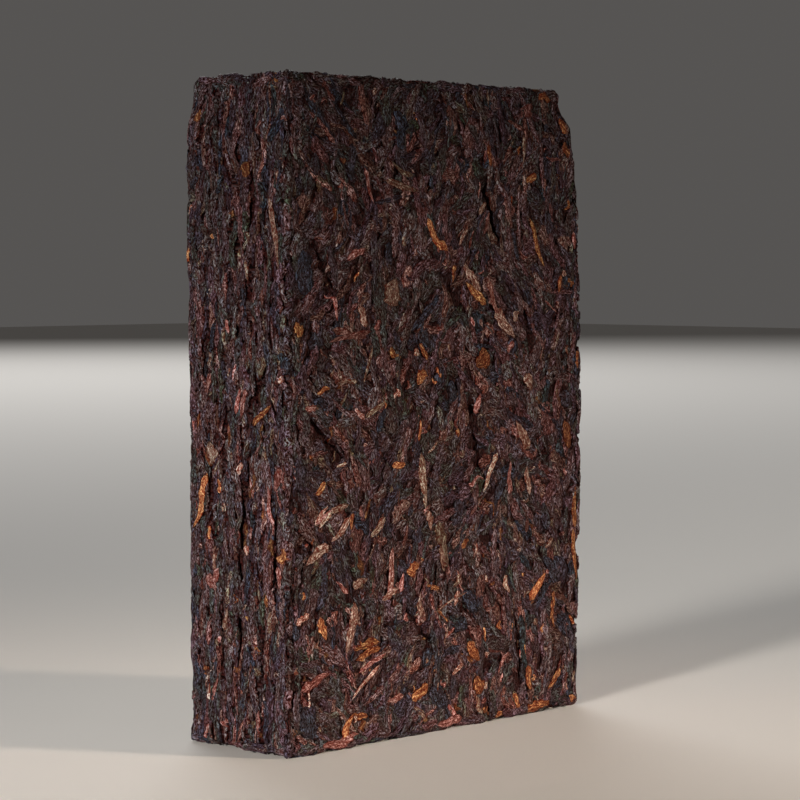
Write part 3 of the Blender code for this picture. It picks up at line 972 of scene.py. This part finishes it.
FRONT_RED = (
    (21.7, 53.8, 7.8, 1.3, 2, 5, 0.6),
    (-15.6, 35.9, 11.8, 1.7, 4, 6, 0.75),
    (-12.4, 33.5, 4.4, 1.4, 17, 0, 0.9),
    (9.8, 70.3, 5.0, 1.7, 24, 15, 0.8),
    (-38.1, 15.2, 9.2, 2.1, 70, 15, 0.45),
    (-21.0, 17.4, 8.8, 1.2, 67, 10, 0.7),
    (20.1, 12.8, 6.2, 1.0, 40, 70, 0.5),
    (-14.2, 8.8, 5.6, 1.6, 82, -15, 0.65),
    (2.6, 1.7, 8.3, 2.0, 85, 0, 0.6),
    (-35.5, 49.1, 5.5, 0.9, 57, 5, 0.95),
    (-31.5, 1.7, 13.0, 2.0, 84, 0, 0.6),
    (16.1, 93.8, 9.5, 1.4, -23, 0, 0.65),
    (22.0, 82.8, 3.3, 1.3, 45, 70, 0.6),
    (43.8, 106.4, 4.1, 1.2, -6, 0, 0.7),
    (-26.1, 103.2, 5.7, 1.7, 66, 0, 0.7),
    (-22.0, 117.2, 8.0, 0.9, -18, 8, 0.5),
    (-31.8, 91.8, 5.5, 0.7, -8, 5, 0.7),
    (-27.8, 86.1, 12.9, 1.2, 81, 8, 0.3),
    (-25.0, 69.8, 3.9, 1.2, -50, 0, 1.0),
    (36.8, 124.6, 5.9, 0.9, -85, 0, 0.25),
    (28.8, 135.0, 3.3, 3.0, -20, 0, 0.25),
    (24.4, 131.8, 5.7, 1.0, -69, 0, 0.3),
    (-30.2, 34.0, 4.8, 1.0, -51, 0, 0.6),
    (-27.8, 86.6, 10.7, 1.6, -80, 0, 0.2),
)
FRONT_TAN = (
    (15.3, 55.4, 9.8, 1.4, 28, 8, 1.0),
    (-5.9, 54.8, 12.5, 2.0, -5, 8, 0.65),
    (-3.9, 46.0, 4.6, 1.8, -10, 0, 0.45),
    (28.0, 52.8, 7.0, 1.7, -11, -15, 0.6),
    (-16.1, 31.3, 5.3, 1.5, 66, 20, 0.7),
    (9.6, 98.0, 8.4, 2.2, -38, 12, 0.6),
    (20.2, 87.8, 9.6, 2.8, -46, 12, 0.6),
    (28.2, 74.8, 4.6, 2.6, -30, 0, 0.5),
    (-41.5, 28.5, 4.2, 1.5, 62, 0, 0.9),
    (-37.5, 41.5, 7.5, 2.2, 60, 25, 0.6),
    (-31.1, 50.6, 5.6, 1.4, 78, 0, 0.5),
    (-44.2, 131.0, 2.7, 1.2, -10, 0, 0.3),
    (-45.0, 126.1, 3.0, 1.2, -6, 0, 0.4),
    (-45.0, 120.5, 3.8, 1.2, -3, 0, 0.4),
    (41.5, 131.6, 3.1, 1.3, -7, 0, 0.5),
    (-24.9, 34.6, 4.6, 1.8, 74, 0, 0.5),
    (3.4, 28.1, 13.9, 0.5, 71, 0, 0.5),
    (26.1, 63.2, 8.0, 2.4, -33, 0, 0.45),
    (-22.5, 80.0, 8.6, 0.8, 18, 0, 0.3),
    (-36.2, 49.6, 5.2, 1.0, 45, 0, 0.9),
    (-35.2, 48.4, 4.6, 1.1, 48, 0, 1.0),
    (-27.4, 25.2, 11.4, 2.2, 15, -15, 0.6),
    (-23.3, 13.4, 10.6, 0.9, 51, 8, 0.8),
    (4.7, 28.5, 3.8, 1.1, 20, 0, 0.8),
    (0.2, 40.6, 11.0, 2.6, -17, 8, 0.12),
    (0.2, 37.9, 5.0, 1.8, -18, 0, 0.35),
    (4.9, 32.2, 3.6, 1.2, 38, 0, 0.4),
    (21.0, 30.0, 4.8, 1.6, -24, 20, 0.85),
    (14.2, 8.2, 1.7, 1.1, 25, 0, 1.0),
    (5.0, 12.9, 4.1, 1.1, 58, 10, 0.7),
    (35.2, 38.2, 3.5, 1.2, 50, 0, 0.5),
    (-6.8, 27.3, 3.9, 1.5, -13, 0, 0.45),
    (-30.3, 46.1, 7.8, 1.7, 48, -25, 0.7),
    (-19.7, 45.8, 6.3, 1.7, 49, -15, 0.65),
    (26.7, 126.4, 6.9, 0.9, 5, 5, 0.4),
    (-15.2, 95.2, 6.4, 4.6, 16, 0, 0.25),
    (-24.1, 90.2, 5.0, 1.9, -21, 0, 0.6),
    (13.9, 113.8, 3.4, 1.4, 37, 0, 0.5),
    (-12.2, 117.5, 10.5, 1.5, 102, 0, 0.25),
    (-12.0, 120.8, 7.6, 1.2, 113, -40, 0.2),
    (23.8, 89.6, 2.9, 1.7, 27, 0, 0.5),
    (-20.6, 70.6, 6.7, 1.3, 62, 0, 0.55),
    (-14.1, 73.6, 2.7, 1.4, 54, 0, 0.9),
    (-30.4, 59.5, 3.3, 0.8, 79, 0, 1.0),
    (-28.8, 76.7, 6.4, 0.9, 88, 20, 0.4),
    (6.8, 107.3, 5.4, 1.1, 34, 0, 0.6),
)
END_RUST = (
    (-11.4, 51.2, 13.2, 1.7, 17, -22, 0.9),
    (7.5, 70.2, 7.3, 1.3, 53, 10, 0.4),
    (12.4, 41.8, 3.8, 1.9, 28, 0, 0.6),
    (14.2, 74.6, 3.2, 1.2, -20, 0, 0.8),
    (-14.2, 103.0, 3.4, 1.2, 12, 0, 0.7),
    (11.0, 138.8, 2.2, 1.6, -28, 0, 0.4),
    (2.6, 120.4, 3.4, 3.0, -26, 0, 0.2),
    (-12.4, 132.1, 3.0, 2.0, -14, 0, 0.4),
)
END_RED = (
    (9.8, 51.7, 9.0, 1.1, -10, 8, 0.8),
    (12.3, 36.6, 8.2, 1.6, -3, 10, 0.4),
    (12.2, 57.2, 5.4, 1.9, 16, 0, 0.35),
    (0.2, 72.7, 5.8, 1.2, 15, 0, 0.9),
    (-7.0, 35.7, 4.9, 1.9, 31, 0, 0.6),
    (-8.8, 76.1, 4.9, 1.3, 11, 0, 0.4),
    (-3.0, 88.2, 3.2, 1.0, -16, 0, 0.9),
    (12.6, 37.2, 5.0, 1.4, -7, 0, 0.6),
    (1.8, 72.2, 6.9, 1.4, 13, 0, 0.5),
    (-8.2, 34.4, 4.4, 2.2, -45, 0, 0.5),
)
END_TAN = (
    (-4.5, 27.3, 5.6, 1.2, 12, 0, 0.35),
    (-7.9, 61.8, 5.2, 3.2, -14, 0, 0.5),
    (0.6, 58.9, 2.9, 1.5, 25, 0, 0.9),
    (11.4, 107.2, 16.4, 1.4, -11, -6, 0.45),
    (12.8, 114.3, 4.5, 1.9, 61, 0, 0.9),
    (13.1, 77.6, 1.8, 1.2, 19, 0, 0.8),
    (2.8, 42.0, 2.3, 1.5, -7, 0, 0.9),
)


# The share of the strewn ones that stay near the top, and how fast the rest thin out on the way up
TOP_LIGHT_SHARE = 0.15
THINNING = 1.3


def light_leaves(name, seed, count, front_rows, end_rows, sizes, shades):
    """One kind of light leaf: the placed ones, and strewn ones that grow more common towards the foot."""
    draw = np.random.default_rng(seed)
    made = []
    for rows, middle in ((front_rows, FRONT_MIDDLE), (end_rows, LEFT_END)):
        leaves, across, up = placed_leaves(draw, rows)
        places, out = press_on_walls(draw, leaves, LONG_BLANK, middle + across, up)
        made.append((places, out, leaves))
    around, z = evenly(count, seed * 0.37)
    around, z = around * WAIST, z * HEIGHT
    kept = draw.random(count) < TOP_LIGHT_SHARE + (1 - TOP_LIGHT_SHARE) * (1 - z / HEIGHT)**THINNING
    around, z = around[kept], z[kept]
    on_end = np.abs(past(around, LEFT_END)) < HALF_DEPTH
    on_end |= np.abs(past(around, RIGHT_END)) < HALF_DEPTH
    lean = np.where(on_end, draw.normal(0, 9, len(z)), flow(draw, around, z, 25))
    leaves = draw_leaves(draw, len(z), *sizes, (0.4, 0.6), lean, 22, (-0.05, 0.12), 4)
    leaves["tone"] = leaves["tone"] ** 2
    leaves["length"] = leaves["length"] * draw.uniform(0.25, 1, len(z))
    places, out = press_on_walls(draw, leaves, LONG_BLANK, around, z)
    made.append((places, out, leaves))
    # Less of the wrinkles' own tone and painted shade and highlight than the dark leaves have
    finish = leaf_finish(name, shades, LIGHT_TINTS, streaks=1.4, wrinkle_tone_and_painted_light=0.75)
    join_leaves(name, LONG_BLANK, made, finish)


light_leaves("rust_leaves", 105, 400, FRONT_RUST, END_RUST, ((2, 8), (0.6, 1.8)), RUST_SHADES)
light_leaves("red_leaves", 106, 420, FRONT_RED, END_RED, ((2, 9), (0.5, 1.7)), RED_SHADES)
light_leaves("tan_leaves", 107, 400, FRONT_TAN, END_TAN, ((2, 8), (0.5, 1.8)), TAN_SHADES)


# The crumbs
# Broken bits of leaf of every kind, a millimetre or two long, that the press bedded between the others.
# They lie any way round, all over the walls.

CRUMBS = 1300
SHORT_BLANK = leaf_blank(6)

draw = np.random.default_rng(108)
around, z = evenly(CRUMBS, 0.61)
lean = draw.uniform(-90, 90, CRUMBS)
leaves = draw_leaves(draw, CRUMBS, (0.8, 2.6), (0.4, 1.3), (0.3, 0.5), lean, 30, (0, 0.25), 5)
places, out = press_on_walls(draw, leaves, SHORT_BLANK, around * WAIST, z * HEIGHT)
crumb_leaf = leaf_finish("crumb_leaf", DARK_SHADES[1:] + BROWN_SHADES[:3] + TAN_SHADES[1:3])
join_leaves("crumbs", SHORT_BLANK, [(places, out, leaves)], crumb_leaf)


# The floor, the light and the camera
# A plain pale floor under soft studio light: two narrow lamps, low at the end and at the front, that graze
# the leaves and fade towards the top, and a broad one behind. The camera has the photograph's place.

FLOOR_COLOUR = (0.62, 0.60, 0.57, 1)
FLOOR_REACH = 3

floor_mesh = bpy.data.meshes.new("floor")
sheet = bmesh.new()
bmesh.ops.create_grid(sheet, x_segments=1, y_segments=1, size=FLOOR_REACH)
sheet.to_mesh(floor_mesh)
sheet.free()
floor_material = bpy.data.materials.new("floor")
floor_material.use_nodes = True
floor_shader = floor_material.node_tree.nodes["Principled BSDF"]
floor_shader.inputs["Base Color"].default_value = FLOOR_COLOUR
floor_shader.inputs["Roughness"].default_value = 0.9
floor_mesh.materials.append(floor_material)
floor = bpy.data.objects.new("floor", floor_mesh)
bpy.context.scene.collection.objects.link(floor)


def studio_light(name, place, aim, size, power, colour, spread=180):
    """A square soft box that faces its aim, with its light kept within the spread, in degrees."""
    lamp = bpy.data.lights.new(name, "AREA")
    lamp.size = size
    lamp.spread = math.radians(spread)
    lamp.energy = power
    lamp.color = colour
    light = bpy.data.objects.new(name, lamp)
    light.location = place
    light.rotation_euler = (Vector(aim) - Vector(place)).to_track_quat("-Z", "Y").to_euler()
    bpy.context.scene.collection.objects.link(light)


studio_light("key", (-1.476, -0.288, 0.268), (0, 0, -0.02), 0.22, 0.49, (1.0, 0.95, 0.89), spread=16.9)
studio_light("side", (0.846, -1.44, 0.246), (-0.045, 0, -0.078), 0.20, 0.43, (1.0, 0.79, 0.63), spread=13.5)
studio_light("behind", (1.10, 1.70, 1.45), (0, 0, 0.06), 1.40, 32.0, (1.0, 1.0, 1.0))

world = bpy.data.worlds.new("studio")
world.use_nodes = True
backdrop = world.node_tree.nodes["Background"]
backdrop.inputs["Color"].default_value = (0.85, 0.81, 0.78, 1)
backdrop.inputs["Strength"].default_value = 0.11
bpy.context.scene.world = world
bpy.context.scene.view_settings.view_transform = "Standard"

CAMERA_PLACE = Vector((-0.3958, -0.3873, 0.1006))
CAMERA_TURN = math.radians(45.81)
CAMERA_DIP = math.radians(3.03)
CAMERA_LENS = 113.7
SENSOR_WIDTH = 36
ahead = Vector((math.sin(CAMERA_TURN), math.cos(CAMERA_TURN), -math.tan(CAMERA_DIP)))

lens = bpy.data.cameras.new("camera")
lens.lens = CAMERA_LENS
lens.sensor_width = SENSOR_WIDTH
lens.clip_start = 0.01
camera = bpy.data.objects.new("camera", lens)
camera.location = CAMERA_PLACE
camera.rotation_euler = ahead.to_track_quat("-Z", "Y").to_euler()
bpy.context.scene.collection.objects.link(camera)
bpy.context.scene.camera = camera
